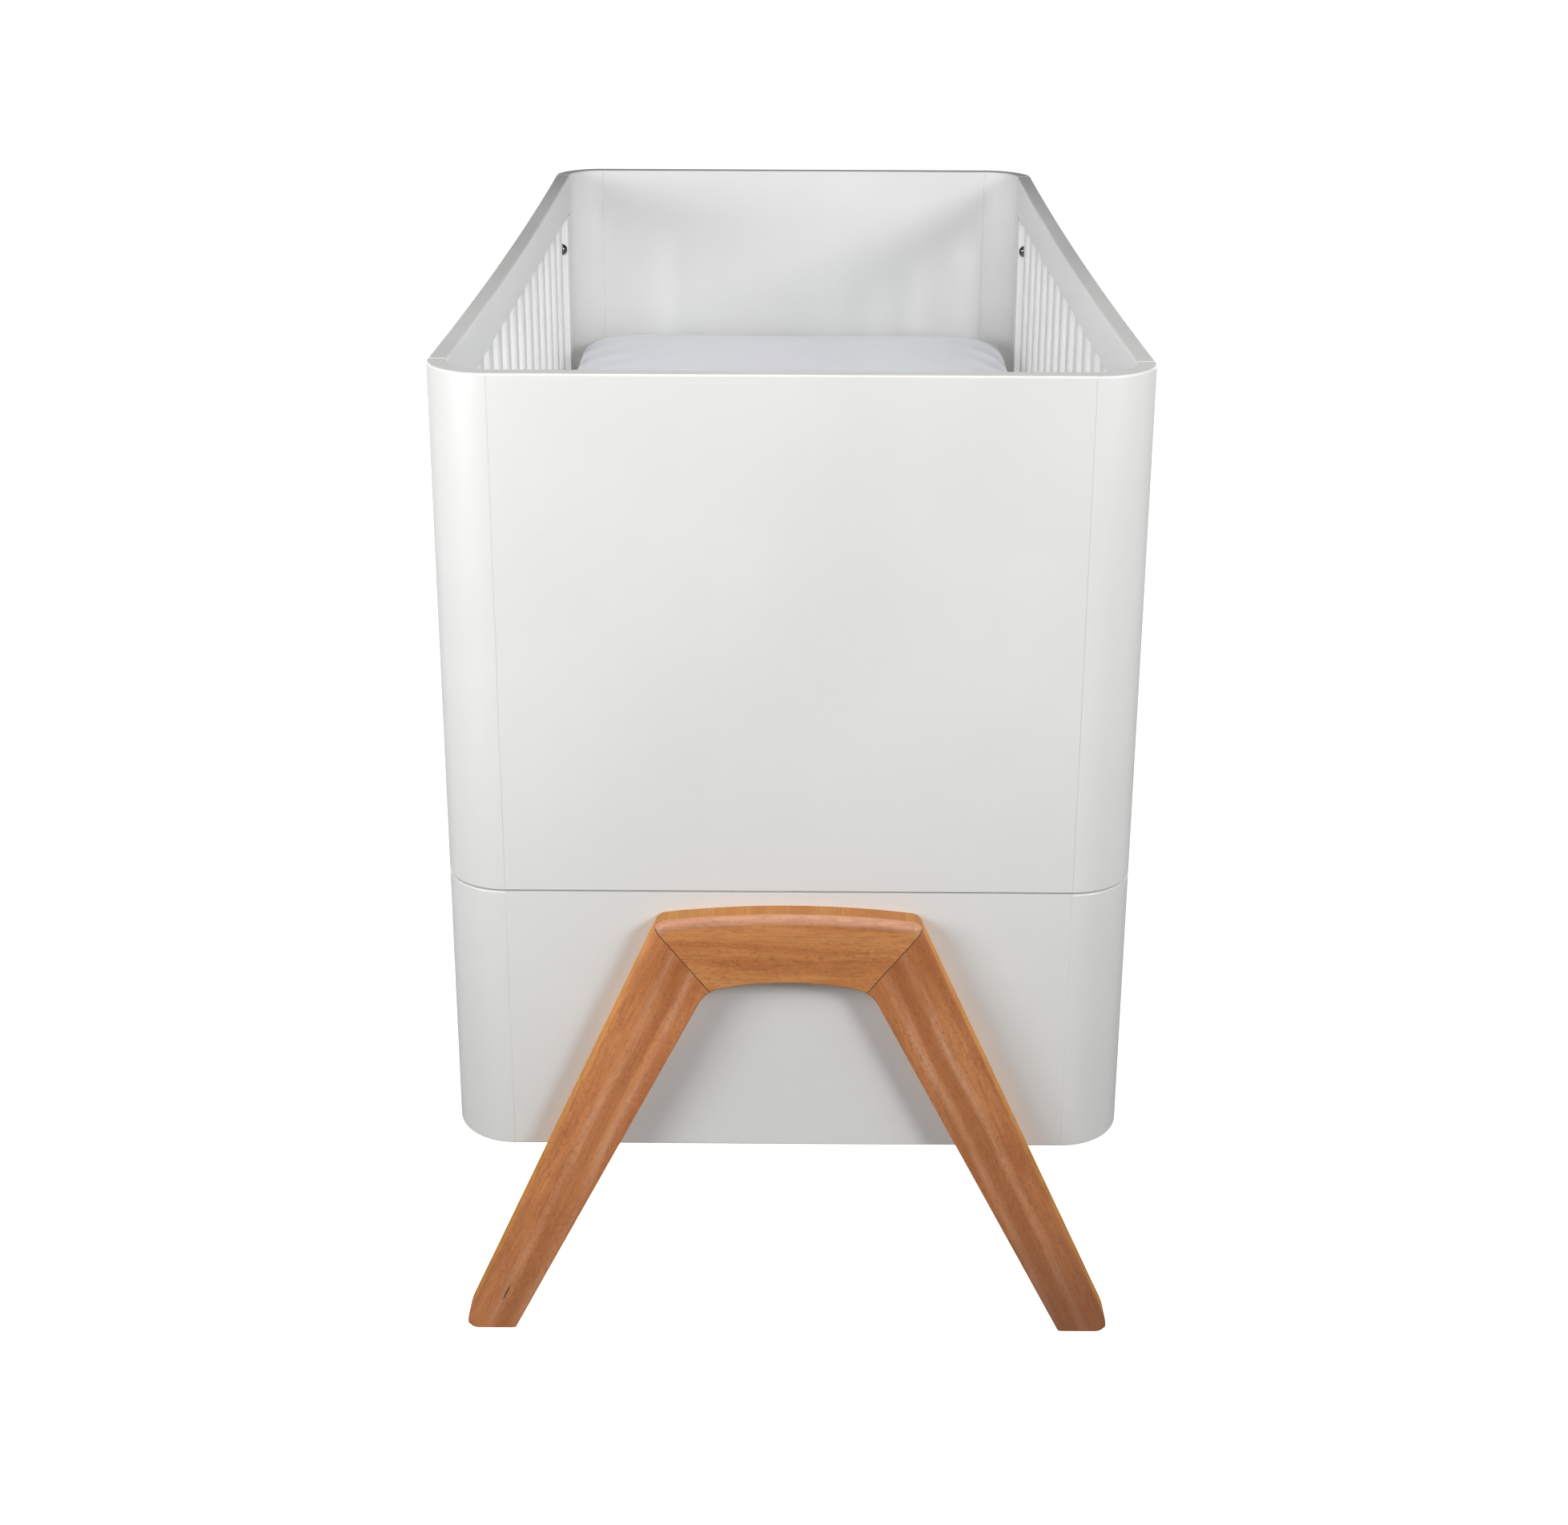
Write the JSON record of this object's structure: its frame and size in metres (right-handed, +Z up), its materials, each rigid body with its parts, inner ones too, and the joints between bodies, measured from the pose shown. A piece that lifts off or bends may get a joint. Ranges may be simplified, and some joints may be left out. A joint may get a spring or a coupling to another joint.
{
  "type": "baby crib",
  "caption": "White slatted crib with rounded corners on two splayed wooden leg frames, with a mattress on a height-adjustable slatted base.",
  "frame": {"origin": "centre of the footprint, on the floor", "axes": "+Z up, +Y along the crib's length to its rear end, +X to its right side"},
  "size_m": [0.65, 1.302, 0.96],
  "materials": {
    "white_paint": "satin",
    "leg_wood": "satin",
    "base_wood": "matte",
    "dowel_wood": "matte",
    "steel": "satin",
    "brass": "satin",
    "mattress_cover": "matte"
  },
  "bodies": {
    "crib_frame": {"front_upper_panel": "white_paint", "rear_upper_panel": "white_paint", "front_left_upper_post": "white_paint", "front_right_upper_post": "white_paint", "rear_left_upper_post": "white_paint", "rear_right_upper_post": "white_paint", "left_top_rail": "white_paint", "right_top_rail": "white_paint", "left_bottom_rail": "white_paint", "right_bottom_rail": "white_paint", "front_left_stile": "white_paint", "front_right_stile": "white_paint", "rear_left_stile": "white_paint", "rear_right_stile": "white_paint", "left_slats": "white_paint", "right_slats": "white_paint", "front_lower_panel": "white_paint", "rear_lower_panel": "white_paint", "front_left_lower_post": "white_paint", "front_right_lower_post": "white_paint", "rear_left_lower_post": "white_paint", "rear_right_lower_post": "white_paint", "left_apron": "white_paint", "right_apron": "white_paint", "front_leg_beam": "leg_wood", "rear_leg_beam": "leg_wood", "front_left_leg": "leg_wood", "front_right_leg": "leg_wood", "rear_left_leg": "leg_wood", "rear_right_leg": "leg_wood", "base_inserts": "brass", "side_bolts": "steel", "side_inserts": "brass", "leg_bolts": "steel", "leg_inserts": "brass", "mitre_dowels": "dowel_wood", "seam_dowels": "dowel_wood", "panel_tongues": "dowel_wood", "joining_plates": "steel", "corner_brackets": "steel", "wood_screws": "steel"},
    "mattress_base": {"front_base_rail": "base_wood", "rear_base_rail": "base_wood", "left_base_rail": "base_wood", "right_base_rail": "base_wood", "centre_base_rail": "base_wood", "base_slats": "base_wood", "base_bolts": "steel", "base_spacers": "steel", "base_screws": "steel"},
    "mattress": {"mattress": "mattress_cover"}
  },
  "joints": [
    {"name": "base_height", "type": "slide", "parent": "crib_frame", "child": "mattress_base", "axis": [0, 0, 1], "range_m": [-0.285, 0]},
    {"name": "mattress_lift", "type": "slide", "parent": "mattress_base", "child": "mattress", "axis": [0, 0, 1], "range_m": [0, 0.45]}
  ]
}
